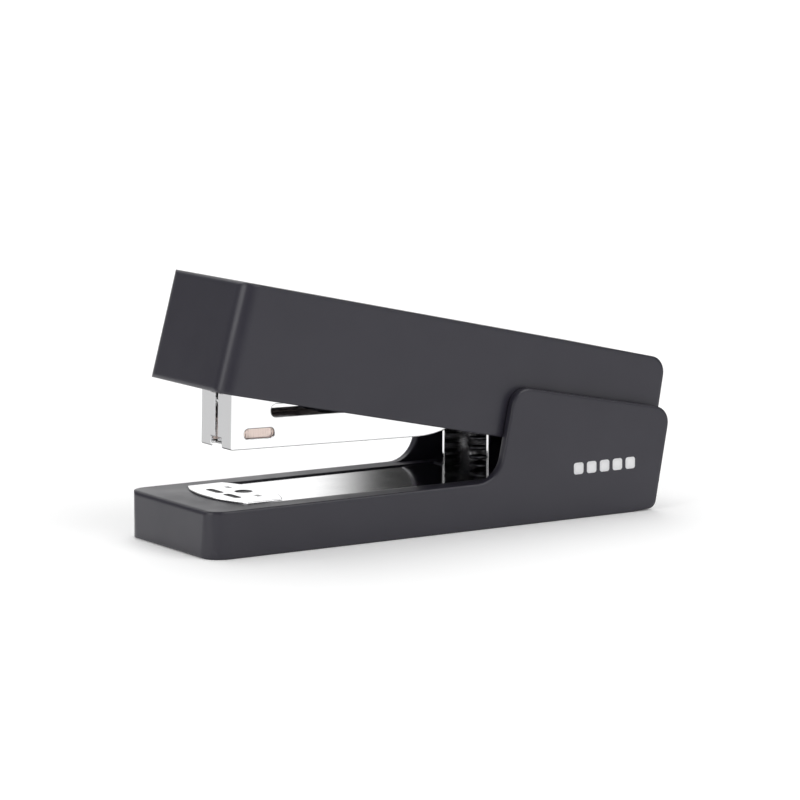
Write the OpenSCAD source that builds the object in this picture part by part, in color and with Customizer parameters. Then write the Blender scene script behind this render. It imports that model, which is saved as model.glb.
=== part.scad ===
// Desktop stapler, shown at rest: the cover stands open above the magazine.
// Frame: origin under the middle of the stapler on the surface it stands on,
// +X from the nose to the rear, +Z up, millimetres.
// Stations along X are given as distances from the front of the base.

/* [Overall] */
// Length over everything at rest
body_l = 141.2; // [138:0.2:146]
// Width of the base
body_w = 43; // [42:0.5:44]
// Height of the base's deck
base_h = 12.1; // [11.9:0.1:12.5]

/* [Hinge] */
// Station of the hinge pin
pin_x = 122; // [121:0.5:123]
// Height of the hinge pin
pin_z = 26.5; // [26:0.5:27]
// Diameter of the hinge pin
pin_d = 4; // [3.6:0.1:4.2]
// Radial clearance of everything that turns on a pin
pin_fit = 0.05; // [0.03:0.01:0.08]
// Angle from the closed cover to the cover at rest
open_angle = 12.35; // [11.5:0.05:13]
// Angle from the level magazine to the magazine at rest
mag_angle = 1.2; // [0.8:0.1:1.6]

/* [Base] */
// Radius of the base's front corners, seen from above
plan_r = 5.6; // [4:0.1:6]
// Thickness of the cheeks beside the cover
cheek_t = 2.2; // [1.8:0.1:2.4]
// Thickness of the deck
deck_t = 2.4; // [2:0.1:2.6]
// Height of the well floor behind the hinge
well_z = 6.5; // [5.5:0.1:6.8]
// Height of the wall between the cheeks at the rear
rear_wall_h = 12; // [9:0.5:12]
// Thickness of the rubber pad under the base
pad_t = 2; // [1.6:0.1:2.4]
// How far the pad stands below the housing
pad_proud = 0.1; // [0.1:0.1:0.3]

/* [Base plate] */
// Thickness of the steel base plate
plate_t = 0.9; // [0.8:0.05:1]
// Width of the base plate
plate_w = 30.2; // [29:0.1:31]
// How far the base plate lies below the deck
recess = 0.35; // [0.3:0.05:0.5]
// Width over the base plate's upturned ears
ear_w = 21.6; // [21.2:0.1:22]
// Station of the front edge of the ears
ear_x = 90.3; // [89.5:0.1:91]

/* [Anvil] */
// Station of the anvil's turning axis
anvil_x = 19.6; // [19.2:0.1:20]
// Length of the anvil across the base
anvil_l = 30; // [29:0.1:30]
// Depth of the anvil from front to rear
anvil_d = 17.8; // [17:0.1:18.2]
// Radius of the anvil's front and rear edges
anvil_r = 31; // [29:0.5:34]
// Thickness of the anvil
anvil_t = 0.4; // [0.35:0.05:0.5]

/* [Magazine] */
// Station of the magazine's nose
nose_x = 14.2; // [14:0.1:14.5]
// Width of the magazine
mag_w = 14.5; // [14.3:0.1:14.6]
// Height of the magazine's side walls
mag_h = 16; // [15.5:0.1:16.2]
// Sheet thickness of the magazine
mag_t = 0.6; // [0.5:0.05:0.6]
// Height of the level magazine's underside above the ground
mag_z = 22.4; // [22.2:0.1:22.8]

/* [Staples] */
// Crown width of a staple
crown_w = 12.8; // [12.6:0.1:12.9]
// Leg length of a staple
leg_h = 6; // [6:0.1:6.2]
// Wire thickness of a staple
wire_t = 0.5; // [0.4:0.05:0.55]
// Number of staples in the strip
staple_count = 50; // [30:1:55]

/* [Cover] */
// Width of the cover
cover_w = 38; // [37.5:0.1:38.2]
// Height of the closed cover's top above the ground
cover_top = 43.95; // [43.6:0.05:44.3]
// Wall thickness of the cover
cover_t = 2; // [1.8:0.1:2.2]
// Radius of the cover's front corners, seen from above
cover_r = 4.2; // [4:0.1:5]

/* [Hidden] */
$fn = 48;

front = -body_l / 2;          // X of the base's front
over = 1;                     // how far a cutting tool runs past the wall it cuts
gap = 0.05;                   // gap between stacked flat pieces
beyond = 150;                 // station behind everything
above = 60;                   // height over everything
fine = 192;                   // facets on a large thin disc
arc_steps = 8;                // facets on a rounded corner of an outline
spring_sides = 8;             // sides of a spring wire's section
axis_x = front + pin_x;       // X of the hinge axis
pin_r = pin_d / 2;
hinge_r = pin_r + pin_fit;    // bore that turns on the hinge pin

// Base outline, [station, height, corner radius]
rim_z = pad_proud;            // underside of the housing
bevel_x = 129.5;              // where the underside starts to rise towards the rear
base_outline = [[0, rim_z, 0.5], [0.25, base_h, 1], [86.5, base_h, 8], [91.65, 36.65, 5],
                [141.75, 26.9, 4.6], [136.9, 0.6, 2.5], [bevel_x, rim_z, 0]];
cheek_gap = body_w - 2 * cheek_t;
cheek_front = 70;             // ahead of where the cheeks rise
well_front = 107;             // front of the wells beside the hinge
well_rear = 136.2;            // inner face of the rear wall
band_w = ear_w + 1;           // deck that carries the plate between the wells
plate_end = 126;              // rear end of the base plate
plate_play = 0.25;            // radial room round the screws and the anvil's stem
ear_top = 32.5;
ear_rear = pin_x + 6.5;
plate_top = base_h - recess;
seat_z = plate_top - plate_t;   // the deck's seat for the plate
ledge = 1.4;                  // shelf that the pad sits against
pad_front = 1.8;
pad_rear = 129;
pad_w = body_w - 3.6;
pad_fit = 0.1;
cavity_w = pad_w - 2 * ledge;
cavity_top = seat_z - deck_t;
cavity_rear = 104.5;

// Screws that hold the base plate
screw_r = 1.3;
screw_head_r = 2.6;
screw_head_h = 1.4;
screw_l = 8;
plate_screw_x = [107.5, 118];
boss_r = 3;

// Hinge pin and its clip
pin_head_r = pin_r + 1.2;
pin_head_t = 0.9;
clip_r = pin_r + 1.6;
clip_t = 0.7;
pin_l = ear_w + 2 * gap + clip_t + 1;
washer_r = 4;

// Anvil
anvil_z = base_h + gap;       // underside of the anvil plate
stem_r = 2;
button_r = 4.2;
button_z = [0.8, 2.8];
button_hole_r = 5;
groove_x = 3.3;               // from the anvil's axis to the middle of a clinch groove
groove_w = 1.5;
groove_depth = 0.22;
groove_y = [1, 7.8];          // from the middle line to the ends of a groove
dot_x = 2.4;                  // the rear pattern: three dots each side of a dimple
dot_y = [6.6, 0.8];           // first dot and spacing
dot_w = 0.4;
dimple_x = 2.6;
dimple_r = 2.35;

// Magazine
nose_rel = nose_x - pin_x;    // nose ahead of the pin
mag_top = mag_z + mag_h;
step_up = 1.9;                // the underside steps up ahead of the hinge
step_x = [73.8, 82];
step_r = 30;
boss_hinge_r = 5.5;           // sheet round the hinge bore
tail_x = 3.5;                 // stop tail behind the pin
tail_h = 14.45;
floor_z = mag_z + mag_t;
floor_front = 17.9;           // the staple leaves ahead of the floor
floor_rear = 106;
slit_w = 1.5;                 // gap between the two nose flaps
notch_w = 5.6;                // notch under the flaps
notch_h = 2.6;
top_notch_h = 2;
window = [18.1, 27.1, 25.05, 27.6];
side_slot = [25.9, 98, 30.3, 33.5];

// Spring that lifts the magazine off the base
lift_r = 3.9;
lift_wire_r = 0.6;
lift_turns = 5.5;
lift_x = 97;
lift_z = pin_z + (pin_x - lift_x) * sin(mag_angle) + (mag_z + step_up - pin_z) * cos(mag_angle);

// Rail, staples and pusher
rail_w = 11.2;
rail_t = 0.8;
rail_x = [18, 112];
leg_z = floor_z + 0.5;        // tips of the staple legs
crown_z = leg_z + leg_h;      // top of the staples
rail_top = crown_z - wire_t - 0.1;
rail_slot = [24.7, 99];
rail_slot_w = 3;
rail_rivet_x = [103.5, 109.5];
rail_rivet_z = 27;
strip_x = 17;
strip_l = staple_count * wire_t;
pusher_x = strip_x + strip_l + 0.2;
pusher_l = 12;
pusher_w = crown_w - 0.1;
pusher_t = 0.45;
rod_r = 0.8;
rod_z = rail_top - rail_t - 1.6;
rod_rear = 100.4;             // rear end of the rod
stop_t = 2.4;

// Cover, closed: [station, height, corner radius]
cover_outline = [[4.17, 15.9, 0.8], [5.55, cover_top, 1.2], [138.5, cover_top, 4.6],
                 [139.7, 16.6, 5]];
cover_in = cover_top - cover_t;
cover_lean = atan((cover_outline[1].x - cover_outline[0].x)
                  / (cover_outline[1].y - cover_outline[0].y));
rear_lip_z = 27;              // lower edge of the cover's rear wall, which clears the base plate

// Cover frame, closed
frame_w = 17.4;
frame_t = 1;
web_z = 38;                   // underside of the frame's web
web_x = [17.2, 118];
frame_r = 6;
blade_r = [105.9, 106.7];     // the driver blade is an arc about the hinge axis
blade_w = 12.4;
blade_low = -7.0;             // angle of the blade's tip below the level of the hinge
blade_high = 9;               // angle to which it is rolled before its top is cut level
blade_tab_x = pin_x - 105.45; // front of the tab, inside the blade's thickness
head_rivet_x = 21.7;
head_rivet_y = 3.5;
blade_tab_l = 11;              // tab behind and ahead of its rivets
cover_screw_x = [40, 98];
cover_screw_l = 5;
rivet_r = 1.2;

// ---- outlines -------------------------------------------------------------

function unit(v) = v / norm(v);

// Points of one rounded corner at p, between the neighbours a and b
function corner(p, a, b, r) =
    r == 0 ? [p] :
    let (u = unit(a - p),
         w = unit(b - p),
         half = acos(u * w) / 2,
         reach = r / tan(half),
         middle = p + unit(u + w) * r / sin(half),
         first = p + u * reach - middle,
         last = p + w * reach - middle,
         start = atan2(first.y, first.x),
         turn = atan2(last.y, last.x) - start,
         sweep = turn > 180 ? turn - 360 : turn < -180 ? turn + 360 : turn)
    [for (i = [0:arc_steps]) let (a = start + sweep * i / arc_steps)
        middle + r * [cos(a), sin(a)]];

// Outline with its corners rounded; each entry is [x, y, radius]
function rounded(pts) =
    let (n = len(pts), xy = [for (p = pts) [p.x, p.y]])
    [for (i = [0:n - 1], q = corner(xy[i], xy[(i + n - 1) % n], xy[(i + 1) % n], pts[i][2])) q];

// Outline in X and Z, made into a slab across Y
module slab(pts, w) {
    rotate([90, 0, 0])
        linear_extrude(w, center = true)
            polygon(pts);
}

// Box by its limits in X and Z, centred across Y
module bar(x, z, w) {
    translate([x[0], -w / 2, z[0]])
        cube([x[1] - x[0], w, z[1] - z[0]]);
}

// Cylinder along Y through a point in the XZ plane
module cross_pin(x, z, r, w) {
    translate([x, 0, z])
        rotate([90, 0, 0])
            cylinder(r = r, h = w, center = true);
}

// Slot with round ends along X, cut across Y; limits are [x0, x1, z0, z1]
module cross_slot(s, w) {
    r = (s[3] - s[2]) / 2;
    bar([s[0] + r, s[1] - r], [s[2], s[3]], w);
    for (x = [s[0] + r, s[1] - r])
        cross_pin(x, s[2] + r, r, w);
}

// Moves a piece drawn in stations to its place
module at_front() {
    translate([front, 0, 0])
        children();
}

// Turns a piece drawn closed or level about the hinge, nose up
module turned(angle) {
    translate([axis_x, 0, pin_z])
        rotate([0, angle, 0])
            translate([-pin_x, 0, -pin_z])
                children();
}

module on_head() {
    turned(open_angle)
        children();
}

module on_magazine() {
    turned(mag_angle)
        children();
}

// Wire swept along a path as one closed tube; axis is the spring's own axis
module wire(path, r, axis) {
    n = len(path);
    ring = [for (i = [0:n - 1], k = [0:spring_sides - 1])
        let (along = path[min(i + 1, n - 1)] - path[max(i - 1, 0)],
             out = unit(cross(along, axis)),
             b = 360 * k / spring_sides)
        path[i] + r * (cos(b) * out + sin(b) * axis)];
    sides = [for (i = [0:n - 2], k = [0:spring_sides - 1], half = [0, 1])
        let (a = i * spring_sides, b = a + spring_sides, m = (k + 1) % spring_sides)
        half == 0 ? [a + k, b + m, b + k] : [a + k, a + m, b + m]];
    ends = [[for (k = [spring_sides - 1:-1:0]) k],
            [for (k = [0:spring_sides - 1]) (n - 1) * spring_sides + k]];
    polyhedron(ring, concat(sides, ends), convexity = 8);
}

// Coil that stands on z = 0, h tall over the wire
module coil(r, wire_r, h, turns, steps_per_turn = 16) {
    steps = turns * steps_per_turn;
    path = [for (i = [0:steps])
        let (a = 360 * i / steps_per_turn)
        [r * cos(a), r * sin(a), wire_r + (h - 2 * wire_r) * i / steps]];
    wire(path, wire_r, [0, 0, 1]);
}

// ---- base -----------------------------------------------------------------

// Base seen from above
module base_plan() {
    linear_extrude(above)
        translate([0, -body_w / 2])
            polygon(rounded([[0, 0, plan_r], [beyond, 0, 0], [beyond, body_w, 0],
                             [0, body_w, plan_r]]));
}

module base_wells() {
    for (side = [-1, 1])
        translate([well_front, side > 0 ? band_w / 2 : -cheek_gap / 2, well_z])
            cube([well_rear - well_front, (cheek_gap - band_w) / 2, above]);
    bar([plate_end, well_rear], [well_z, above], cheek_gap);
}

module base_cavity() {
    bar([pad_front, pad_rear], [-over, pad_t], pad_w);
    difference() {
        union() {
            bar([pad_front + ledge, cavity_rear], [0, cavity_top], cavity_w);
            bar([cavity_rear - over, plate_end - deck_t], [0, cavity_top], band_w - 2 * deck_t);
        }
        for (x = plate_screw_x)
            translate([x, 0, pad_t])
                cylinder(r = boss_r, h = base_h);
    }
}

module base_housing() {
    color([0.19, 0.19, 0.21])
        at_front()
            difference() {
                intersection() {
                    slab(rounded(base_outline), body_w + over);
                    base_plan();
                }
                bar([cheek_front, beyond], [base_h, above], cheek_gap);
                bar([well_rear, beyond], [rear_wall_h, above], cheek_gap);
                translate([0, 0, seat_z])
                    linear_extrude(above)
                        plate_outline(gap);
                base_wells();
                base_cavity();
                translate([anvil_x, 0, 0])
                    cylinder(r = stem_r + pin_fit, h = base_h);
                for (x = plate_screw_x)
                    translate([x, 0, pad_t + over])
                        cylinder(r = screw_r + gap, h = base_h);
            }
}

module base_pad() {
    color([0.09, 0.09, 0.09])
        at_front()
            difference() {
                bar([pad_front + pad_fit, pad_rear - pad_fit], [0, pad_t - gap], pad_w - 2 * pad_fit);
                translate([anvil_x, 0, -over])
                    cylinder(r = button_hole_r, h = pad_t + 2 * over);
            }
}

// Base plate seen from above, grown by edge on every side but the bowed front
module plate_outline(edge = 0) {
    bow_r = anvil_r;
    bow_front = anvil_x - anvil_d / 2 + 0.4;
    intersection() {
        translate([bow_front - edge, -plate_w / 2 - edge])
            square([ear_x - bow_front, plate_w + 2 * edge]);
        translate([bow_front - edge + bow_r, 0])
            circle(r = bow_r, $fn = fine);
    }
    translate([anvil_x + anvil_d, -plate_w / 2 - edge])
        square([ear_x - anvil_x - anvil_d + edge, plate_w + 2 * edge]);
    translate([ear_x - over, -ear_w / 2 - edge])
        square([plate_end - ear_x + over + edge, ear_w + 2 * edge]);
}

module base_plate() {
    color([0.85, 0.86, 0.88])
        at_front()
            difference() {
                union() {
                    translate([0, 0, seat_z])
                        linear_extrude(plate_t)
                            plate_outline();
                    slab(ear_outline(), ear_w);
                }
                bar([ear_x - over, beyond], [plate_top, above], ear_w - 2 * plate_t);
                cross_pin(pin_x, pin_z, hinge_r, body_w);
                translate([anvil_x, 0, 0])
                    cylinder(r = stem_r + plate_play, h = above);
                for (x = plate_screw_x)
                    translate([x, 0, 0])
                        cylinder(r = screw_r + plate_play, h = above);
            }
}

// Side view of an ear
function ear_outline() = rounded([
    [ear_x, seat_z, 0], [ear_x, ear_top - 2, 2], [pin_x - 8, ear_top, 8], [ear_rear, ear_top, 6],
    [ear_rear, 20, 6], [plate_end, base_h + gap, 0], [plate_end, seat_z, 0]]);

module plate_screws() {
    color([0.7, 0.71, 0.73])
        at_front()
            for (x = plate_screw_x)
                translate([x, 0, plate_top])
                    pan_screw(screw_l);
}

// Pan-head screw that points down, its head resting on z = 0
module pan_screw(l) {
    difference() {
        cylinder(r = screw_head_r, h = screw_head_h);
        for (a = [0, 90])
            rotate([0, 0, a])
                translate([-1.4, -0.25, screw_head_h - 0.7])
                    cube([2.8, 0.5, over]);
    }
    translate([0, 0, -l])
        cylinder(r = screw_r, h = l + gap);
}

// ---- hinge ----------------------------------------------------------------

module hinge_pin() {
    color([0.75, 0.76, 0.78])
        translate([axis_x, -ear_w / 2 - gap, pin_z])
            rotate([-90, 0, 0]) {
                cylinder(r = pin_r, h = pin_l);
                translate([0, 0, -pin_head_t])
                    cylinder(r = pin_head_r, h = pin_head_t + gap / 2);
            }
}

module pin_clip() {
    color([0.35, 0.35, 0.37])
        translate([axis_x, ear_w / 2 + gap, pin_z])
            rotate([-90, 0, 0])
                difference() {
                    cylinder(r = clip_r, h = clip_t);
                    translate([0, 0, -over])
                        cylinder(r = pin_r + pin_fit, h = clip_t + 2 * over);
                }
}

module pivot_washers() {
    inner = frame_w / 2;
    outer = ear_w / 2 - plate_t;
    play = 0.1;
    color([0.8, 0.8, 0.78])
        for (side = [-1, 1])
            translate([axis_x, side * (inner + outer) / 2, pin_z])
                rotate([90, 0, 0])
                    difference() {
                        cylinder(r = washer_r, h = outer - inner - 2 * play, center = true);
                        cylinder(r = hinge_r, h = outer, center = true);
                    }
}

module lift_spring() {
    color([0.07, 0.07, 0.08])
        translate([front + lift_x, 0, plate_top + gap])
            coil(lift_r, lift_wire_r, lift_z - plate_top - 3 * gap, lift_turns);
}

// ---- anvil ----------------------------------------------------------------

module anvil() {
    color([0.87, 0.88, 0.9])
        translate([front + anvil_x, 0, 0]) {
            difference() {
                intersection() {
                    translate([anvil_d / 2 - anvil_r, 0, anvil_z])
                        cylinder(r = anvil_r, h = anvil_t, $fn = fine);
                    translate([anvil_r - anvil_d / 2, 0, anvil_z])
                        cylinder(r = anvil_r, h = anvil_t, $fn = fine);
                    cube([anvil_d, anvil_l, above], center = true);
                }
                anvil_grooves();
            }
            translate([0, 0, button_z[1] - gap])
                cylinder(r = stem_r, h = anvil_z - button_z[1] + 2 * gap);
        }
}

// The two clinch patterns and the dimple between the rear one's dots
module anvil_grooves() {
    top = anvil_z + anvil_t;
    translate([dimple_x, 0, top])
        cylinder(r = dimple_r, h = 2 * groove_depth, center = true);
    for (side = [-1, 1]) {
        translate([-groove_x, side * (groove_y[0] + groove_y[1]) / 2, top])
            cube([groove_w, groove_y[1] - groove_y[0], 2 * groove_depth], center = true);
        for (k = [0:2])
            translate([dot_x, side * (dot_y[0] + k * dot_y[1]), top])
                cube([groove_w, dot_w, 2 * groove_depth], center = true);
    }
}

module anvil_button() {
    color([0.2, 0.2, 0.21])
        translate([front + anvil_x, 0, button_z[0]])
            cylinder(r = button_r, h = button_z[1] - button_z[0] - gap);
}

module anvil_spring() {
    color([0.6, 0.6, 0.62])
        translate([front + anvil_x, 0, button_z[1] + gap])
            coil(2.9, 0.35, cavity_top - button_z[1] - 2 * gap, 3.5);
}

// ---- magazine, drawn level ------------------------------------------------

function underside(lift) = [
    [step_x[0], mag_z + lift, step_r], [step_x[1], mag_z + lift + step_up, step_r]];

function mag_outline() = rounded(concat(
    [[nose_x, mag_top, 0.5], [nose_x, mag_z, 0.5]],
    underside(0),
    [[pin_x - 9, mag_z + step_up, 3], [pin_x - 1, pin_z - 5, 2],
     [pin_x, pin_z - tail_h + 0.4, 0], [pin_x + tail_x, pin_z - tail_h, 0],
     [pin_x + boss_hinge_r, pin_z - 3, 3], [pin_x + boss_hinge_r, pin_z + boss_hinge_r, 5],
     [pin_x - 4, pin_z + boss_hinge_r + 1, 8], [92, mag_top, 8]]));

function mag_inside() = rounded(concat(
    [[nose_x + mag_t, mag_top + over, 0], [nose_x + mag_t, floor_z, 0]],
    underside(mag_t),
    [[floor_rear, floor_z + step_up, 0], [floor_rear, 0, 0],
     [beyond, 0, 0], [beyond, mag_top + over, 0]]));

module magazine_channel() {
    color([0.86, 0.87, 0.89])
        on_magazine()
            difference() {
                slab(mag_outline(), mag_w);
                slab(mag_inside(), mag_w - 2 * mag_t);
                bar([nose_x + mag_t, floor_front], [0, floor_z + over], mag_w - 2 * mag_t);
                nose_cuts();
                cross_slot(window, body_w);
                cross_slot(side_slot, body_w);
                cross_pin(pin_x, pin_z, hinge_r, body_w);
                for (x = rail_rivet_x)
                    cross_pin(x, rail_rivet_z, rivet_r + gap, body_w);
            }
}

// The slit between the nose flaps and the notches above and below it
module nose_cuts() {
    x = [nose_x - over, nose_x + mag_t + gap];
    bar(x, [0, above], slit_w);
    bar(x, [0, mag_z + notch_h], notch_w);
    bar(x, [mag_top - top_notch_h, above], notch_w);
}

// Side view of the rail, which follows the magazine's floor
function rail_outline(top) = [
    [rail_x[0], top], [rail_x[0], floor_z + gap], [step_x[0] - 4, floor_z + gap],
    [step_x[1] + 1, floor_z + step_up + 0.2], [rail_x[1], floor_z + step_up + 0.2],
    [rail_x[1], top]];

module staple_rail() {
    color([0.72, 0.73, 0.75])
        on_magazine()
            difference() {
                slab(rail_outline(rail_top), rail_w);
                bar([rail_x[0] + rail_t, rail_x[1] + over], [0, rail_top - rail_t], rail_w - 2 * rail_t);
                bar(rail_slot, [0, above], rail_slot_w);
                for (x = rail_rivet_x)
                    cross_pin(x, rail_rivet_z, rivet_r + gap, body_w);
            }
}

module rail_rivets() {
    head_t = 0.2;
    color([0.8, 0.8, 0.82])
        on_magazine()
            for (x = rail_rivet_x) {
                cross_pin(x, rail_rivet_z, rivet_r, mag_w + 2 * gap);
                for (side = [-1, 1])
                    translate([0, side * (mag_w / 2 + gap / 2 + head_t / 2), 0])
                        cross_pin(x, rail_rivet_z, rivet_r + 0.7, head_t);
            }
}

module staple_strip() {
    color([0.85, 0.6, 0.5])
        on_magazine()
            difference() {
                bar([strip_x, strip_x + strip_l], [leg_z, crown_z], crown_w);
                bar([strip_x - over, strip_x + strip_l + over], [0, crown_z - wire_t],
                    crown_w - 2 * wire_t);
            }
}

module pusher() {
    shoe_z = floor_z + step_up + 0.3;
    play = 0.25;
    color([0.78, 0.79, 0.81])
        on_magazine()
            difference() {
                union() {
                    difference() {
                        bar([pusher_x, pusher_x + pusher_l], [shoe_z, crown_z + 0.7], pusher_w);
                        bar([pusher_x - over, pusher_x + pusher_l + over],
                            [0, rail_top + 0.15], rail_w + 2 * play);
                    }
                    bar([pusher_x + 2, pusher_x + pusher_l], [rod_z - 1.15, crown_z],
                        rail_slot_w - 2 * play);
                }
                translate([pusher_x - over, 0, rod_z])
                    rotate([0, 90, 0])
                        cylinder(r = rod_r + 0.08, h = pusher_l + 2 * over);
            }
}

module pusher_rod() {
    color([0.7, 0.7, 0.72])
        on_magazine()
            translate([rail_x[0] + rail_t + gap, 0, rod_z])
                rotate([0, 90, 0])
                    cylinder(r = rod_r, h = rod_rear - rail_x[0] - rail_t);
}

module rod_stop() {
    color([0.6, 0.6, 0.62])
        on_magazine()
            difference() {
                bar([rod_rear - stop_t, rod_rear], [floor_z + step_up + gap, rail_top - rail_t - gap],
                    rail_w - 2 * rail_t - 2 * gap);
                translate([0, 0, rod_z])
                    rotate([0, 90, 0])
                        cylinder(r = rod_r + gap, h = beyond);
            }
}

module pusher_spring() {
    spring_x = pusher_x + pusher_l + gap;
    color([0.16, 0.16, 0.17])
        on_magazine()
            translate([spring_x, 0, rod_z])
                rotate([0, 90, 0])
                    coil(1.18, 0.24, rod_rear - stop_t - gap - spring_x, 22, 10);
}

// Torsion spring round the hinge pin, with one leg under the magazine's floor
module head_spring() {
    r = 3.1;
    wire_r = 0.5;
    turns = 7;
    w = 10;
    steps_per_turn = 16;
    leg_low = 19;
    leg_up = 12;
    turned_by = 360 * turns + 135;
    steps = ceil(turned_by * steps_per_turn / 360);
    ring = [for (i = [0:steps])
        let (a = -90 + turned_by * i / steps)
        [r * cos(a), -w / 2 + w * i / steps, r * sin(a)]];
    last = ring[steps];
    path = concat([[-leg_low, -w / 2, -r]], ring,
                  [last + leg_up * [-sin(45), 0, cos(45)]]);
    color([0.45, 0.45, 0.47])
        on_magazine()
            translate([pin_x, 0, pin_z])
                wire(path, wire_r, [0, 1, 0]);
}

// ---- cover and driver, drawn closed ---------------------------------------

// Prism that rounds the cover's front corners and leans with its front face
module cover_plan(inset, r) {
    w = cover_w - 2 * inset;
    translate([cover_outline[0].x, 0, cover_outline[0].y])
        rotate([0, cover_lean, 0])
            translate([inset, -w / 2, -above / 2])
                linear_extrude(2 * above)
                    polygon(rounded([[0, 0, r], [beyond, 0, 0], [beyond, w, 0], [0, w, r]]));
}

// Hollow of the cover, open below and behind the rear lip
function cover_inside() =
    let (top = cover_outline[2],
         low = cover_outline[3],
         lip_x = top.x + (low.x - top.x) * (cover_top - rear_lip_z) / (cover_top - low.y))
    rounded([[0, 0, 0], [0, cover_in, 0], [top.x - cover_t, cover_in, top[2] - cover_t],
             [lip_x - cover_t, rear_lip_z, 0], [beyond, rear_lip_z, 0], [beyond, 0, 0]]);

module head_cover() {
    rib_x = [62, 80, 116];
    rib_t = 1.2;
    boss_z = web_z + frame_t + gap;
    color([0.17, 0.17, 0.19])
        on_head()
            difference() {
                union() {
                    difference() {
                        intersection() {
                            slab(rounded(cover_outline), cover_w + over);
                            cover_plan(0, cover_r);
                        }
                        intersection() {
                            slab(cover_inside(), cover_w);
                            cover_plan(cover_t, cover_r - cover_t);
                        }
                    }
                    for (x = rib_x)
                        bar([x, x + rib_t], [boss_z + 0.3, cover_in + gap], cover_w - 2 * cover_t + gap);
                    for (x = cover_screw_x)
                        translate([x, 0, boss_z])
                            cylinder(r = boss_r + 0.3, h = cover_in - boss_z + gap);
                }
                for (x = cover_screw_x)
                    translate([x, 0, 0])
                        cylinder(r = screw_r + gap, h = cover_in + 1.1);
            }
}

function frame_outline() = rounded([
    [web_x[0], web_z + frame_t, 0], [web_x[0], web_z - 1.5, 0], [70, 33, 10], [pin_x - 12, 20.5, 8],
    [pin_x + frame_r, 20.5, frame_r - 0.1], [pin_x + frame_r, pin_z + frame_r + 0.5, frame_r - 0.1],
    [web_x[1], web_z + frame_t, 0]]);

module head_frame() {
    color([0.66, 0.67, 0.69])
        on_head()
            difference() {
                slab(frame_outline(), frame_w);
                bar([0, beyond], [0, web_z], frame_w - 2 * frame_t);
                bar([web_x[1], beyond], [0, above], frame_w - 2 * frame_t);
                cross_pin(pin_x, pin_z, hinge_r, body_w);
                for (x = cover_screw_x)
                    translate([x, 0, web_z - over])
                        cylinder(r = screw_r + plate_play, h = frame_t + 2 * over);
                driver_rivet_places()
                    translate([0, 0, web_z - over])
                        cylinder(r = rivet_r + gap, h = frame_t + 2 * over);
            }
}

module driver_rivet_places() {
    for (side = [-1, 1])
        translate([head_rivet_x, side * head_rivet_y, 0])
            children();
}

module driver_blade() {
    tab_z = web_z + frame_t + gap;
    tab_t = blade_r[1] - blade_r[0];
    color([0.6, 0.61, 0.63])
        on_head()
            difference() {
                union() {
                    translate([pin_x, 0, pin_z])
                        rotate([90, 0, 0])
                            rotate([0, 0, 180 - blade_high])
                                rotate_extrude(angle = blade_high - blade_low, $fn = 360)
                                    translate([blade_r[0], -blade_w / 2])
                                        square([tab_t, blade_w]);
                    bar([blade_tab_x, head_rivet_x + blade_tab_l / 2], [tab_z, tab_z + tab_t + over],
                        blade_w);
                }
                bar([0, beyond], [tab_z + tab_t, above], body_w);
                driver_rivet_places()
                    translate([0, 0, web_z])
                        cylinder(r = rivet_r + gap, h = frame_t + 2 * over);
            }
}

module driver_rivets() {
    low = web_z;
    high = web_z + frame_t + gap + blade_r[1] - blade_r[0];
    color([0.75, 0.75, 0.77])
        on_head()
            driver_rivet_places() {
                translate([0, 0, low - gap])
                    cylinder(r = rivet_r, h = high - low + 2 * gap);
                for (z = [low - gap - 0.8, high + gap])
                    translate([0, 0, z])
                        cylinder(r = rivet_r + 0.9, h = 0.8);
            }
}

module cover_screws() {
    color([0.7, 0.71, 0.73])
        on_head()
            for (x = cover_screw_x)
                translate([x, 0, web_z - gap])
                    rotate([180, 0, 0])
                        pan_screw(cover_screw_l);
}

base_housing();
base_pad();
base_plate();
plate_screws();
hinge_pin();
pin_clip();
pivot_washers();
lift_spring();
anvil();
anvil_button();
anvil_spring();
magazine_channel();
staple_rail();
rail_rivets();
staple_strip();
pusher_rod();
rod_stop();
pusher_spring();
pusher();
head_spring();
head_cover();
head_frame();
driver_blade();
driver_rivets();
cover_screws();
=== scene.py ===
"""Looks of the desktop stapler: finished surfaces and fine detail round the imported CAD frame."""
import math

import bmesh
import bpy
from mathutils import Matrix, Vector


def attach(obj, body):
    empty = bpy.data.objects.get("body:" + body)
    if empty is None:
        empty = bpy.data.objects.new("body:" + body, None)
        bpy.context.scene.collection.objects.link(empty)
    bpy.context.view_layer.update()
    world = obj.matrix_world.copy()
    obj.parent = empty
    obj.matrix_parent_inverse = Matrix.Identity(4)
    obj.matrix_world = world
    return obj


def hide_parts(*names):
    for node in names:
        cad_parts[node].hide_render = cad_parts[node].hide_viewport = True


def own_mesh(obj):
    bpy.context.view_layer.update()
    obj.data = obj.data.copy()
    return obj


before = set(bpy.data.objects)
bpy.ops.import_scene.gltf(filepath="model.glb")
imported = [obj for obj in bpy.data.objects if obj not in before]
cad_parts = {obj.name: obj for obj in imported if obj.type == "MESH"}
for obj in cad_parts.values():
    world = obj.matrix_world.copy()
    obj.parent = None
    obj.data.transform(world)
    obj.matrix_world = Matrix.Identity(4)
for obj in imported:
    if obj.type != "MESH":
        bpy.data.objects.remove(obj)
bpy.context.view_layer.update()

MM = 0.001
FRONT = -70.6               # X of the base's front, mm; stations count from here
PIN_STATION = 122.0         # the hinge pin's place, mm
PIN_HEIGHT = 26.5
MAGAZINE_ANGLE = math.radians(1.2)      # nose up, at rest


# ---- places ------------------------------------------------------------------

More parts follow.
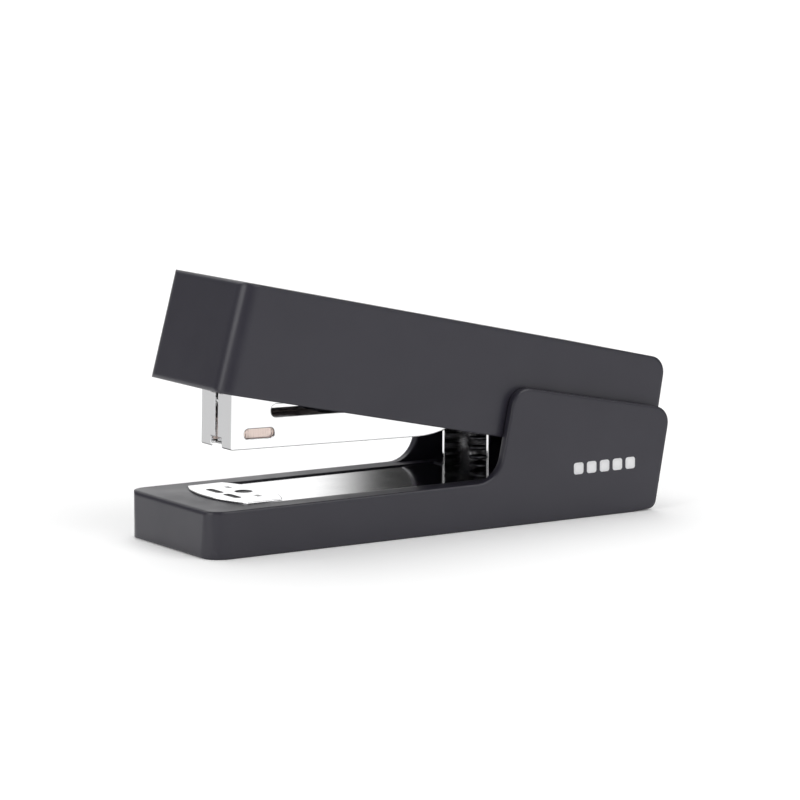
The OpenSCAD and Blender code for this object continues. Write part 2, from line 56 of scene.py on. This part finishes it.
def place(station, y, z, angle=0.0):
    """Point in metres from a station, Y and Z in mm, turned nose up about the hinge pin."""
    back = station - PIN_STATION
    up = z - PIN_HEIGHT
    cosine = math.cos(angle)
    sine = math.sin(angle)
    return Vector((FRONT + PIN_STATION + cosine * back + sine * up, y,
                   PIN_HEIGHT - sine * back + cosine * up)) * MM


# ---- meshes ------------------------------------------------------------------

WELD_DISTANCE = 2e-6        # metres
FLAT_ANGLE = math.radians(0.4)          # faces closer than this are one flat face
HARD_ANGLE = math.radians(28)           # edges sharper than this are rounded
EDGE_SEGMENTS = 3


def add_mesh(name, body, bm, material, smooth=True):
    """Makes a piece from a bmesh and rides it on a body."""
    mesh = bpy.data.meshes.new(name)
    bmesh.ops.recalc_face_normals(bm, faces=bm.faces)
    bm.to_mesh(mesh)
    bm.free()
    for polygon in mesh.polygons:
        polygon.use_smooth = smooth
    mesh.materials.append(material)
    piece = bpy.data.objects.new(name, mesh)
    bpy.context.scene.collection.objects.link(piece)
    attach(piece, body)
    return piece


def soften(obj, width):
    """Rounds an object's hard edges by width in mm."""
    weld = obj.modifiers.new("weld", "WELD")
    weld.merge_threshold = WELD_DISTANCE
    flat = obj.modifiers.new("flat", "DECIMATE")
    flat.decimate_type = "DISSOLVE"
    flat.angle_limit = FLAT_ANGLE
    bevel = obj.modifiers.new("edges", "BEVEL")
    bevel.width = width * MM
    bevel.segments = EDGE_SEGMENTS
    bevel.limit_method = "ANGLE"
    bevel.angle_limit = HARD_ANGLE
    bevel.use_clamp_overlap = True
    bevel.harden_normals = True


# ---- materials ---------------------------------------------------------------

MIX_FACTOR = 0              # sockets of a mix node that mixes colours
MIX_FIRST = 6
MIX_SECOND = 7
MIX_RESULT = 2
BEVEL_SAMPLES = 8
RANGE_SOCKETS = ("From Min", "From Max", "To Min", "To Max")
EVEN = (1, 1, 1)            # stretch of a noise that is the same along all axes
ALONG_SHEET = (14, 1, 1)    # stretch of the lines left by drawing a sheet along X


class Tree:
    """Short names for building a tree of shader nodes."""

    def __init__(self, tree):
        self.tree = tree

    def add(self, kind, **settings):
        """New node with its settings."""
        node = self.tree.nodes.new(kind)
        for key, value in settings.items():
            setattr(node, key, value)
        return node

    def set(self, node, socket, value):
        """Links an output to a socket, or sets the socket's own value."""
        if isinstance(value, bpy.types.NodeSocket):
            self.tree.links.new(value, node.inputs[socket])
        else:
            node.inputs[socket].default_value = value

    def spread(self, value, low, high, start=0.3, end=0.7, curve="LINEAR"):
        """Maps value from start..end to low..high, which may be numbers or outputs."""
        node = self.add("ShaderNodeMapRange", interpolation_type=curve)
        self.set(node, "Value", value)
        for socket, limit in zip(RANGE_SOCKETS, (start, end, low, high)):
            self.set(node, socket, limit)
        return node.outputs["Result"]

    def along(self, direction, axis):
        """How far a direction points along an axis, from -1 to 1."""
        node = self.add("ShaderNodeVectorMath", operation="DOT_PRODUCT")
        self.set(node, 0, direction)
        self.set(node, 1, axis)
        return node.outputs["Value"]


class Surface(Tree):
    """One material's nodes, built round its shader."""

    def __init__(self, name, colour, roughness, metallic=0.0, **inputs):
        self.material = bpy.data.materials.new(name)
        self.material.use_nodes = True
        super().__init__(self.material.node_tree)
        self.shader = self.tree.nodes["Principled BSDF"]
        self.set(self.shader, "Base Color", (*colour, 1))
        self.set(self.shader, "Roughness", roughness)
        self.set(self.shader, "Metallic", metallic)
        for socket, value in inputs.items():
            self.set(self.shader, socket.replace("_", " "), value)
        self.coordinates = self.add("ShaderNodeTexCoord").outputs["Object"]

    def noise(self, size, detail=2, roughness=0.6, stretch=EVEN):
        """Noise whose blotches are about size mm across, stretched along the axes."""
        mapping = self.add("ShaderNodeMapping")
        self.set(mapping, "Vector", self.coordinates)
        self.set(mapping, "Scale", tuple(1 / s for s in stretch))
        node = self.add("ShaderNodeTexNoise")
        self.set(node, "Vector", mapping.outputs["Vector"])
        self.set(node, "Scale", 1 / (size * MM))
        self.set(node, "Detail", detail)
        self.set(node, "Roughness", roughness)
        return node.outputs["Fac"]

    def mix(self, factor, first, second):
        """Mixes two colours by factor; each is three numbers or another mix's output."""
        node = self.add("ShaderNodeMix", data_type="RGBA")
        self.set(node, MIX_FACTOR, factor)
        for socket, colour in ((MIX_FIRST, first), (MIX_SECOND, second)):
            is_output = isinstance(colour, bpy.types.NodeSocket)
            self.set(node, socket, colour if is_output else (*colour, 1))
        return node.outputs[MIX_RESULT]

    def bump(self, height, distance, strength, normal=None):
        """Normal bumped by a height that is distance mm deep; it starts from normal if given."""
        node = self.add("ShaderNodeBump")
        self.set(node, "Height", height)
        self.set(node, "Distance", distance * MM)
        self.set(node, "Strength", strength)
        if normal is not None:
            self.set(node, "Normal", normal)
        return node.outputs["Normal"]

    def rounded(self, radius):
        """Normal that rounds the edges by radius in mm."""
        node = self.add("ShaderNodeBevel", samples=BEVEL_SAMPLES)
        self.set(node, "Radius", radius * MM)
        return node.outputs["Normal"]

    def finish(self, **links):
        """Links or sets the shader's sockets and returns the material."""
        for socket, value in links.items():
            self.set(self.shader, socket.replace("_", " "), value)
        return self.material


PLASTIC_IOR = 1.48
RIM_RADIUS = 1.2            # mm, of a moulding's edges in shading
FLOW_STRETCH = (1.6, 1, 1)
GLOSSIER = 0.03             # how far a moulding's roughness falls and rises in patches
DULLER = 0.04


def moulded_plastic(name, dark, light, roughness, grain=0.22, depth=0.006):
    """Satin moulded plastic: a fine spark-eroded grain and faint flow marks."""
    n = Surface(name, dark, roughness, IOR=PLASTIC_IOR)
    flow = n.noise(size=26, detail=3, stretch=FLOW_STRETCH)
    fine = n.noise(size=grain)
    satin = n.noise(size=9, roughness=0.5)
    return n.finish(Base_Color=n.mix(n.spread(flow, 0, 1), dark, light),
                    Roughness=n.spread(satin, roughness - GLOSSIER, roughness + DULLER),
                    Normal=n.bump(fine, depth, strength=0.5, normal=n.rounded(RIM_RADIUS)))


LINE_SIZE = 0.6             # mm across the drawing lines
LINE_DEPTH = 0.0004         # mm
LINE_STRENGTH = 0.6
FOLD_RADIUS = 0.5           # mm, of the magazine's edges in shading
# Colour of a painted dark reflection along the magazine's downward-facing edges.
UNDERSIDE_SHADE = (0.05, 0.05, 0.05)
FORWARD = (-1, 0, 0)
DOWN = (0, 0, -1)


def painted_shade_chrome(name, colour, nose, roughness):
    """Chromed sheet with painted shade: darker where its bent nose faces forward, and a painted
    dark reflection where its lower edges face down.
    """
    n = Surface(name, colour, roughness, metallic=1.0)
    lines = n.noise(LINE_SIZE, detail=3, stretch=ALONG_SHEET)
    folds = n.rounded(FOLD_RADIUS)
    # painted shade on the faces that point forward, on the nose
    nose_shade_mask = n.spread(n.along(folds, FORWARD), 0, 1)
    # painted dark reflection where the edges face down
    underside_shade_mask = n.spread(n.along(folds, DOWN), 0, 1, start=0.15, end=0.55)
    return n.finish(Base_Color=n.mix(underside_shade_mask, n.mix(nose_shade_mask, colour, nose), UNDERSIDE_SHADE),
                    Normal=n.bump(lines, LINE_DEPTH, LINE_STRENGTH, folds))


SMUDGE_SHADE = 0.94         # of the metal's colour
SMUDGE_ROUGHNESS = 0.03     # added to the metal's


def bright_metal(name, colour, roughness, stretch=EVEN, line_size=LINE_SIZE):
    """Plated metal with faint drawing lines and handling marks."""
    n = Surface(name, colour, roughness, metallic=1.0)
    lines = n.noise(line_size, detail=3, stretch=stretch)
    marks = n.noise(size=7, detail=3)
    darker = tuple(c * SMUDGE_SHADE for c in colour)
    return n.finish(Base_Color=n.mix(n.spread(marks, 0, 1), colour, darker),
                    Roughness=n.spread(marks, roughness, roughness + SMUDGE_ROUGHNESS),
                    Normal=n.bump(lines, LINE_DEPTH, LINE_STRENGTH))


RUBBER = (0.018, 0.018, 0.019)
DUSTY_RUBBER = (0.04, 0.039, 0.038)


def rubber(name):
    """Dull black rubber with a coarse grain and some dust."""
    n = Surface(name, RUBBER, roughness=0.8)
    grain = n.noise(size=0.35, detail=3)
    dust = n.spread(n.noise(size=5, detail=4, roughness=0.7), 0, 1, start=0.45, end=0.8)
    return n.finish(Base_Color=n.mix(dust, RUBBER, DUSTY_RUBBER),
                    Normal=n.bump(grain, distance=0.02, strength=0.6))


ABS_DARK = (0.023, 0.0215, 0.031)
ABS_LIGHT = (0.026, 0.0245, 0.035)
CHROME = (0.92, 0.92, 0.925)
# Colour of the painted shade on the magazine's forward-facing nose.
NOSE_SHADE_CHROME = (0.53, 0.53, 0.535)

abs_base = moulded_plastic("abs_base", ABS_DARK, ABS_LIGHT, roughness=0.32)
abs_cover = moulded_plastic("abs_cover", ABS_DARK, ABS_LIGHT, roughness=0.34)
dark_plastic = moulded_plastic("dark_plastic", dark=(0.02, 0.02, 0.022),
                               light=(0.026, 0.026, 0.028), roughness=0.5)
print_white = moulded_plastic("print_white", dark=(0.78, 0.78, 0.8), light=(0.84, 0.84, 0.85),
                              roughness=0.5, grain=0.1, depth=0.002)
rubber_pad = rubber("rubber_pad")
chrome = bright_metal("chrome", CHROME, 0.08, ALONG_SHEET)
# Magazine chrome, with painted shade on its nose and a painted dark reflection along its lower
# edges.
mag_chrome = painted_shade_chrome("mag_chrome", CHROME, NOSE_SHADE_CHROME, roughness=0.09)
plated = bright_metal("plated_steel", (0.62, 0.62, 0.63), 0.2, stretch=(8, 1, 1))
spring_steel = bright_metal("spring_steel", (0.42, 0.42, 0.43), 0.28)
black_wire = bright_metal("black_wire", (0.06, 0.06, 0.065), 0.3)
staple_wire = bright_metal("staple_wire", (0.88, 0.74, 0.68), 0.24, line_size=0.2)
# Darker steel, as painted shade in the anvil's pockets, dimple and dots.
painted_shade_steel = bright_metal("painted_shade_steel", (0.09, 0.09, 0.095), 0.35)

# Each CAD node's material and the width in mm by which its edges are rounded.
FINISHES = {
    "base_housing": (abs_base, 1.1),
    "head_cover": (abs_cover, 1.1),
    "base_pad": (rubber_pad, 0.3),
    "base_plate": (chrome, 0.25),
    "magazine_channel": (mag_chrome, 0.2),
    "anvil_button": (dark_plastic, 0.4),
    "plate_screws": (plated, 0.15),
    "hinge_pin": (plated, 0.2),
    "pin_clip": (spring_steel, 0.1),
    "pivot_washers": (plated, 0.1),
    "staple_rail": (plated, 0.15),
    "rail_rivets": (plated, 0.08),
    "pusher_rod": (plated, 0.15),
    "rod_stop": (plated, 0.15),
    "pusher": (plated, 0.1),
    "head_frame": (plated, 0.2),
    "driver_blade": (plated, 0.1),
    "driver_rivets": (plated, 0.15),
    "cover_screws": (plated, 0.15),
}

for node_name, (finish_material, edge_width) in FINISHES.items():
    node_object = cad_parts[node_name]
    for material_slot in node_object.material_slots:
        material_slot.material = finish_material
    soften(node_object, edge_width)


# ---- fine pieces -------------------------------------------------------------

FULL_TURN = 360             # degrees
WIRE_SIDES = 12
WIRE_CAP = ((0.35, 0.45), (0.75, 0.25))     # of an end's rings: radius and reach, in wire radii
COIL_STEPS = 28
END_TURNS = 0.8             # turns at each end of a coil that lie closer together
END_PITCH = 0.45            # of the other turns' pitch
ALONG_Y = (0, 1, 0)
ALONG_Z = (0, 0, 1)
SPRING_NODES = {"lift_coil": "lift_spring", "pusher_coil": "pusher_spring",
                "anvil_coil": "anvil_spring", "head_coil": "head_spring"}


def join_rings(bm, rings, caps):
    """Quads between each ring of points and the next, and a face across each ring in caps."""
    for one, two in zip(rings, rings[1:]):
        for k in range(len(one)):
            m = (k + 1) % len(one)
            bm.faces.new((one[k], one[m], two[m], two[k]))
    for ring in caps:
        bm.faces.new(ring)


def add_tube(bm, path, radius, axis):
    """Sweeps a round wire along path, in metres, with rounded ends; axis is the coil's axis."""
    first = (path[0] - path[1]).normalized()
    last = (path[-1] - path[-2]).normalized()
    stations = [(path[0] + first * radius * reach, scale) for scale, reach in WIRE_CAP]
    stations += [(point, 1.0) for point in path]
    stations += [(path[-1] + last * radius * reach, scale) for scale, reach in reversed(WIRE_CAP)]
    angles = [math.tau * k / WIRE_SIDES for k in range(WIRE_SIDES)]
    rings = []
    for i, (centre, scale) in enumerate(stations):
        along = stations[min(i + 1, len(stations) - 1)][0] - stations[max(i - 1, 0)][0]
        out = along.cross(axis).normalized()
        over = along.cross(out).normalized()
        arms = [math.cos(a) * out + math.sin(a) * over for a in angles]
        rings.append([bm.verts.new(centre + radius * scale * arm) for arm in arms])
    join_rings(bm, rings, (rings[0], rings[-1]))


def coil_path(radius, wire, height, turns):
    """Points (x, y, z) in mm of a coil that stands on z = 0; wire is its wire's radius."""
    steps = round(turns * COIL_STEPS)
    weights = []
    for i in range(steps):
        turns_to_end = min(i, steps - i) / COIL_STEPS
        weights.append(END_PITCH if turns_to_end < END_TURNS else 1.0)
    rise = (height - 2 * wire) / sum(weights)
    z = wire
    points = []
    for i in range(steps + 1):
        a = math.tau * i / COIL_STEPS
        points.append((radius * math.cos(a), radius * math.sin(a), z))
        z += rise * weights[min(i, steps - 1)]
    return points


def add_spring(name, body, path, wire, axis, material):
    """Spring of round wire, radius wire in mm, along a path in metres; replaces the CAD node."""
    bm = bmesh.new()
    add_tube(bm, path, wire * MM, Vector(axis))
    spring = add_mesh(name, body, bm, material)
    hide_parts(SPRING_NODES[name])
    return spring


CORNER_STEPS = 5
CIRCLE_STEPS = 40
LENS_STEPS = 24
LEAST_CORNER = 0.02         # mm, radius left when a corner is inset


def rounded_box(cx, cy, size_x, size_y, radius, inset=0.0):
    """Outline (x, y) of a rectangle with round corners, drawn inset from its edge."""
    half_x = size_x / 2 - radius
    half_y = size_y / 2 - radius
    rounding = max(radius - inset, LEAST_CORNER)
    points = []
    for corner, (sx, sy) in enumerate(((1, 1), (-1, 1), (-1, -1), (1, -1))):
        for k in range(CORNER_STEPS + 1):
            a = math.pi / 2 * (corner + k / CORNER_STEPS)
            points.append((cx + sx * half_x + rounding * math.cos(a),
                           cy + sy * half_y + rounding * math.sin(a)))
    return points


def circle(cx, cy, radius):
    """Outline (x, y) of a circle."""
    angles = [math.tau * k / CIRCLE_STEPS for k in range(CIRCLE_STEPS)]
    return [(cx + radius * math.cos(a), cy + radius * math.sin(a)) for a in angles]


def lens(half_x, half_y, radius, inset):
    """Outline of the anvil: two arcs, cut straight at both ends."""
    top = half_y - inset
    points = []
    for side in (1, -1):
        centre = side * (half_x - radius)
        for k in range(LENS_STEPS + 1):
            y = side * (top * (2 * k / LENS_STEPS - 1))
            points.append((centre + side * math.sqrt((radius - inset) ** 2 - y * y), y))
    return points


ANVIL_STATION = 19.6
ANVIL_HALF = (8.9, 15.0)
ANVIL_RADIUS = 31.0
ANVIL_LOW = 12.15
ANVIL_HIGH = 12.55
# Insets and heights, mm, of the rings up the anvil's edge, which is rolled over at the top.
ANVIL_EDGE = ((0.06, ANVIL_LOW), (0.0, ANVIL_LOW + 0.06), (0.0, ANVIL_HIGH - 0.16),
              (0.03, ANVIL_HIGH - 0.08), (0.1, ANVIL_HIGH - 0.02), (0.2, ANVIL_HIGH))
# Insets and depths, mm, of the rings down the side of whatever is sunk into it.
HOLLOW_EDGE = ((0.0, 0.0), (0.06, 0.02), (0.16, 0.11), (0.24, 0.24))
STEM_RADIUS = 2.0           # of the round stem under the plate
STEM_HEIGHTS = (ANVIL_LOW + 0.02, 2.75)
POCKET_X = -3.3             # from the anvil's middle; towards the front is negative
POCKET_Y = 4.4
POCKET_SIZE = (2.2, 6.8, 1.0)           # along X, along Y and corner radius, mm
DIMPLE_X = 2.6
DIMPLE_RADIUS = 2.35
DIMPLE_TAPER = 2            # how fast it narrows, as a multiple of a pocket
DOT_X = 2.4
DOT_Y = 6.6                 # of the innermost dot
DOT_SPACING = 0.8
DOT_ROWS = 3
DOT_SIZE = (1.6, 0.56, 0.27)            # along X, along Y and corner radius, mm
DOT_TAPER = 0.8
RECESSED = 1                # the second material, darker steel as painted shade on whatever is sunk in


def anvil_ring(bm, outline, z):
    """Ring of points from an outline in mm round the anvil's middle at height z."""
    return [bm.verts.new(place(ANVIL_STATION + x, y, z)) for x, y in outline]


def anvil_hollows():
    """Outlines, each a function of its inset, of everything sunk into the anvil."""
    hollows = [lambda inset, y=side * POCKET_Y: rounded_box(POCKET_X, y, *POCKET_SIZE, inset)
               for side in (1, -1)]
    hollows.append(lambda inset: circle(DIMPLE_X, 0, DIMPLE_RADIUS - DIMPLE_TAPER * inset))
    for side in (1, -1):
        for row in range(DOT_ROWS):
            hollows.append(lambda inset, y=side * (DOT_Y + DOT_SPACING * row):
                           rounded_box(DOT_X, y, *DOT_SIZE, inset * DOT_TAPER))
    return hollows


def add_anvil():
    """Chrome lens with rolled edges, two clinch pockets, a dimple and rows of dots; whatever is
    sunk in is darker steel, as painted shade.
    """
    bm = bmesh.new()
    rings = [anvil_ring(bm, lens(*ANVIL_HALF, ANVIL_RADIUS, inset), z) for inset, z in ANVIL_EDGE]
    join_rings(bm, rings, (rings[0],))
    borders = [rings[-1]]
    for outline in anvil_hollows():
        steps = [anvil_ring(bm, outline(inset), ANVIL_HIGH - depth) for inset, depth in HOLLOW_EDGE]
        built = len(bm.faces)
        join_rings(bm, steps, (steps[-1],))
        bm.faces.ensure_lookup_table()
        for face in bm.faces[built:]:
            face.material_index = RECESSED
        borders.append(steps[0])
    edges = []
    for border in borders:
        for one, two in zip(border, border[1:] + border[:1]):
            edges.append(bm.edges.get((one, two)) or bm.edges.new((one, two)))
    bmesh.ops.triangle_fill(bm, use_beauty=True, edges=edges, normal=(0, 0, 1))
    stem = [anvil_ring(bm, circle(0, 0, STEM_RADIUS), z) for z in STEM_HEIGHTS]
    join_rings(bm, stem, stem)
    anvil = add_mesh("anvil_lens", "anvil", bm, chrome, smooth=False)
    anvil.data.materials.append(painted_shade_steel)
    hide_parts("anvil")


STAPLE_COUNT = 50
STAPLE_WIRE = 0.5
STRIP_FRONT = 17.0
STAPLE_LOW = 23.5
STAPLE_HIGH = 29.5
STAPLE_HALF = 6.4           # half the crown's width, outside
STAPLE_BEND = 0.7           # bend radius at the wire's middle
BEND_STEPS = 4
FLAT_SIDE = 0.46            # from the wire's middle to its flat sides, in wire widths
FLAT_END = 0.25             # and along a side to where the cut corner starts


def staple_section():
    """Outline of the flattened wire, in wire widths: a square with its corners cut."""
    corner = ((FLAT_SIDE, FLAT_END), (FLAT_END, FLAT_SIDE))
    upper = corner + tuple((-u, v) for u, v in reversed(corner))
    return upper + tuple((-u, -v) for u, v in upper)


def staple_spine():
    """Middle (y, z) of one staple's wire, from one foot over the crown to the other."""
    half = STAPLE_WIRE / 2
    side = STAPLE_HALF - half
    angles = [math.pi / 2 * k / BEND_STEPS for k in range(BEND_STEPS + 1)]
    bend = [(side - STAPLE_BEND + STAPLE_BEND * math.sin(a),
             STAPLE_HIGH - half - STAPLE_BEND + STAPLE_BEND * math.cos(a)) for a in angles]
    leg = bend + [(side, STAPLE_LOW)]
    return [(-y, z) for y, z in reversed(leg)] + leg


def add_staples():
    """Strip of separate staples: flattened wire bent to a U, one behind the other."""
    section = staple_section()
    spine = staple_spine()
    bm = bmesh.new()
    for index in range(STAPLE_COUNT):
        x = STRIP_FRONT + STAPLE_WIRE / 2 + index * STAPLE_WIRE
        rings = []
        for i, (y, z) in enumerate(spine):
            before = spine[max(i - 1, 0)]
            after = spine[min(i + 1, len(spine) - 1)]
            run = Vector((after[0] - before[0], after[1] - before[1])).normalized()
            rings.append([bm.verts.new(place(x + u * STAPLE_WIRE, y - run.y * v * STAPLE_WIRE,
                                             z + run.x * v * STAPLE_WIRE, MAGAZINE_ANGLE))
                          for u, v in section])
        join_rings(bm, rings, (rings[0], rings[-1]))
    staples = add_mesh("staples", "magazine", bm, staple_wire, smooth=False)
    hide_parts("staple_strip")


# Springs: coil is the radius to the wire's middle and wire the wire's radius, all in mm.
PLATE_TOP = 11.75
LIFT_STATION = 97.0
LIFT_FOOT = PLATE_TOP + 0.05            # clear of the base plate
LIFT_COIL = 3.9
LIFT_WIRE = 0.6
LIFT_HEIGHT = 12.92
LIFT_TURNS = 5.5
ROD_Z = 26.5                # the pusher's rod, with the magazine level
PUSH_START = 54.25
PUSH_END = 97.95
PUSH_COIL = 1.18
PUSH_WIRE = 0.24
PUSH_TURNS = 22
ANVIL_FOOT = 2.85
ANVIL_COIL = 2.9
ANVIL_WIRE = 0.35
ANVIL_SPRING_HEIGHT = 5.55
ANVIL_TURNS = 3.5
HEAD_COIL = 3.1
HEAD_WIRE = 0.5
HEAD_WIDTH = 10.0           # along the hinge pin
HEAD_DEGREES = 2655         # how far the wire winds round the pin
HEAD_START = -90            # degrees, straight below the pin
HEAD_FRONT_LEG = -19.0      # X of the lower leg's end, from the pin
HEAD_UPPER_LEG = 12         # length
HEAD_LEAN = math.radians(45)            # of the upper leg, towards the front


def add_lift_spring():
    """Dark spring between the ears, pressed down by the magazine."""
    coil = coil_path(LIFT_COIL, LIFT_WIRE, LIFT_HEIGHT, LIFT_TURNS)
    path = [place(LIFT_STATION + x, y, LIFT_FOOT + z) for x, y, z in coil]
    lift = add_spring("lift_coil", "base", path, LIFT_WIRE, ALONG_Z, black_wire)
    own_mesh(lift)


def add_pusher_spring():
    """Long spring round the pusher's rod, pressed towards the rear."""
    coil = coil_path(PUSH_COIL, PUSH_WIRE, PUSH_END - PUSH_START, PUSH_TURNS)
    path = [place(PUSH_START + z, y, ROD_Z + x, MAGAZINE_ANGLE) for x, y, z in coil]
    along = place(1, 0, 0, MAGAZINE_ANGLE) - place(0, 0, 0, MAGAZINE_ANGLE)
    push = add_spring("pusher_coil", "magazine", path, PUSH_WIRE, along, spring_steel)
    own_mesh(push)


def add_anvil_spring():
    """Spring round the anvil's stem."""
    coil = coil_path(ANVIL_COIL, ANVIL_WIRE, ANVIL_SPRING_HEIGHT, ANVIL_TURNS)
    path = [place(ANVIL_STATION + x, y, ANVIL_FOOT + z) for x, y, z in coil]
    add_spring("anvil_coil", "anvil", path, ANVIL_WIRE, ALONG_Z, spring_steel)


def add_head_spring():
    """Torsion spring round the hinge pin with a leg under the magazine's floor and one up."""
    steps = HEAD_DEGREES * COIL_STEPS // FULL_TURN
    points = [(HEAD_FRONT_LEG, -HEAD_WIDTH / 2, -HEAD_COIL)]
    for i in range(steps + 1):
        a = math.radians(HEAD_DEGREES * i / steps + HEAD_START)
        y = -HEAD_WIDTH / 2 + HEAD_WIDTH * i / steps
        points.append((HEAD_COIL * math.cos(a), y, HEAD_COIL * math.sin(a)))
    x, y, z = points[-1]
    points.append((x - HEAD_UPPER_LEG * math.sin(HEAD_LEAN), y,
                   z + HEAD_UPPER_LEG * math.cos(HEAD_LEAN)))
    path = [place(PIN_STATION + x, y, PIN_HEIGHT + z, MAGAZINE_ANGLE) for x, y, z in points]
    add_spring("head_coil", "magazine", path, HEAD_WIRE, ALONG_Y, spring_steel)


SQUARE_COUNT = 5
SQUARE_START = 111.8        # station of the first square's middle
SQUARE_SPACING = 4.2
SQUARE_SIZE = 3.1
SQUARE_CORNER = 0.7
SQUARE_Z = 13.4
CHEEK_Y = -21.5             # the near cheek's outer face
INK = 0.02                  # mm, how far the print reaches in and out of the cheek


def add_mark():
    """Plain printed squares on the near cheek."""
    bm = bmesh.new()
    for index in range(SQUARE_COUNT):
        middle = SQUARE_START + index * SQUARE_SPACING
        outline = rounded_box(middle, SQUARE_Z, SQUARE_SIZE, SQUARE_SIZE, SQUARE_CORNER)
        rings = [[bm.verts.new(place(x, CHEEK_Y + depth, z)) for x, z in outline]
                 for depth in (INK, -INK)]
        join_rings(bm, rings, rings)
    add_mesh("mark", "base", bm, print_white, smooth=False)


# ---- room --------------------------------------------------------------------

VIEW_TURN = math.radians(33.1743)
VIEW_RISE = math.radians(8.4311)
VIEW_ROLL = math.radians(0.0806)
VIEW_DISTANCE = 988.85      # mm
VIEW_TARGET = (-0.829, 0.027, 32.228)   # mm
FOCAL_LENGTH = 170.75       # mm
SENSOR_WIDTH = 36           # mm
CLIP_NEAR = 0.05            # metres
CLIP_FAR = 50
VIEW_AHEAD = (math.sin(VIEW_TURN), math.cos(VIEW_TURN), 0)
VIEW_RIGHT = (math.cos(VIEW_TURN), -math.sin(VIEW_TURN), 0)


def towards_eye(azimuth, elevation):
    """Direction from the stapler to an eye or a light; azimuth 0 faces the near side."""
    return Vector((math.sin(azimuth) * math.cos(elevation),
                   -math.cos(azimuth) * math.cos(elevation), math.sin(elevation)))


def add_camera():
    """Long-lens camera in front of the nose's left side, a little above the deck."""
    back = towards_eye(-VIEW_TURN, VIEW_RISE)
    right = (-back).cross(Vector((0, 0, 1))).normalized()
    up = right.cross(-back)
    rolled_right = math.cos(VIEW_ROLL) * right + math.sin(VIEW_ROLL) * up
    rolled_up = -math.sin(VIEW_ROLL) * right + math.cos(VIEW_ROLL) * up
    eye = Vector(VIEW_TARGET) * MM + back * (VIEW_DISTANCE * MM)
    data = bpy.data.cameras.new("camera")
    data.lens = FOCAL_LENGTH
    data.sensor_width = SENSOR_WIDTH
    data.clip_start = CLIP_NEAR
    data.clip_end = CLIP_FAR
    camera = bpy.data.objects.new("camera", data)
    columns = (rolled_right, rolled_up, back, eye)
    rows = [[column[axis] for column in columns] for axis in range(3)]
    camera.matrix_world = Matrix(rows + [[0, 0, 0, 1]])
    bpy.context.scene.collection.objects.link(camera)
    bpy.context.scene.camera = camera


def add_soft_box(name, azimuth, elevation, spread, strength):
    """Wide soft light at infinity; azimuth from straight in front of the near side, degrees."""
    data = bpy.data.lights.new(name, "SUN")
    data.angle = math.radians(spread)
    data.energy = strength
    light = bpy.data.objects.new(name, data)
    light.rotation_mode = "QUATERNION"
    back = towards_eye(math.radians(azimuth), math.radians(elevation))
    light.rotation_quaternion = (-back).to_track_quat("-Z", "Y")
    light.location = back
    bpy.context.scene.collection.objects.link(light)


SKY_BRIGHT = 1.2            # low behind the stapler, left of the camera's line
SKY_DIM = 0.22              # overhead, and on the left wherever it isn't bright
SKY_CARD = 0.03             # dark card low on the right
# Where one strength passes into the next, as parts of a direction one long.
BEHIND_EDGE = (0.0, 0.3)
LEFT_EDGE = (-0.6, -0.3)
CARD_EDGE = (-0.025, -0.004)
LOW_EDGE = (0.2, 0.36)
FLOOR_SIZE = 6              # metres, half its width
FLOOR_CUTS = 8
FLOOR_Z = -0.01             # mm, just under the pad so that the two faces don't meet
FLOOR_GLOW = 0.11
FLOOR_WHITE = (0.9, 0.9, 0.9)
FLOOR_BRIGHTER = (0.92, 0.92, 0.92)
FLOOR_PATCH = 400           # mm, faint patches
WHITE = (1, 1, 1, 1)


def add_sky():
    """Sky brightest low behind the stapler, with a dark card low on the right."""
    world = bpy.data.worlds.new("sky")
    world.use_nodes = True
    sky = Tree(world.node_tree)
    direction = sky.add("ShaderNodeTexCoord").outputs["Generated"]
    ahead = sky.along(direction, VIEW_AHEAD)
    across = sky.along(direction, VIEW_RIGHT)
    height = sky.along(direction, ALONG_Z)
    behind = sky.spread(ahead, SKY_DIM, SKY_BRIGHT, *BEHIND_EDGE, "SMOOTHSTEP")
    left = sky.spread(across, SKY_DIM, behind, *LEFT_EDGE, "SMOOTHSTEP")
    right = sky.spread(across, left, SKY_CARD, *CARD_EDGE, "SMOOTHSTEP")
    strength = sky.spread(height, right, SKY_DIM, *LOW_EDGE, "SMOOTHSTEP")
    background = sky.tree.nodes["Background"]
    sky.set(background, "Color", WHITE)
    sky.set(background, "Strength", strength)
    bpy.context.scene.world = world


def add_floor():
    """White floor that glows a little, as a lit studio sweep does."""
    bm = bmesh.new()
    bmesh.ops.create_grid(bm, x_segments=FLOOR_CUTS, y_segments=FLOOR_CUTS, size=FLOOR_SIZE)
    mesh = bpy.data.meshes.new("floor")
    bm.to_mesh(mesh)
    bm.free()
    n = Surface("floor_white", FLOOR_WHITE, roughness=0.6, Emission_Color=WHITE,
                Emission_Strength=FLOOR_GLOW)
    patches = n.noise(FLOOR_PATCH, roughness=0.5)
    mesh.materials.append(n.finish(Base_Color=n.mix(patches, FLOOR_WHITE, FLOOR_BRIGHTER)))
    floor = bpy.data.objects.new("floor", mesh)
    floor.location.z = FLOOR_Z * MM
    bpy.context.scene.collection.objects.link(floor)


def add_room():
    """White room: sky, floor and three soft boxes."""
    add_sky()
    bpy.context.scene.view_settings.view_transform = "Standard"
    add_floor()
    add_soft_box("key", azimuth=25, elevation=40, spread=50, strength=1.3)
    add_soft_box("left", azimuth=-82, elevation=20, spread=34, strength=0.8)
    add_soft_box("back", azimuth=165, elevation=66, spread=64, strength=1.95)


add_anvil()
add_staples()
add_lift_spring()
add_pusher_spring()
add_anvil_spring()
add_head_spring()
add_mark()
add_camera()
add_room()
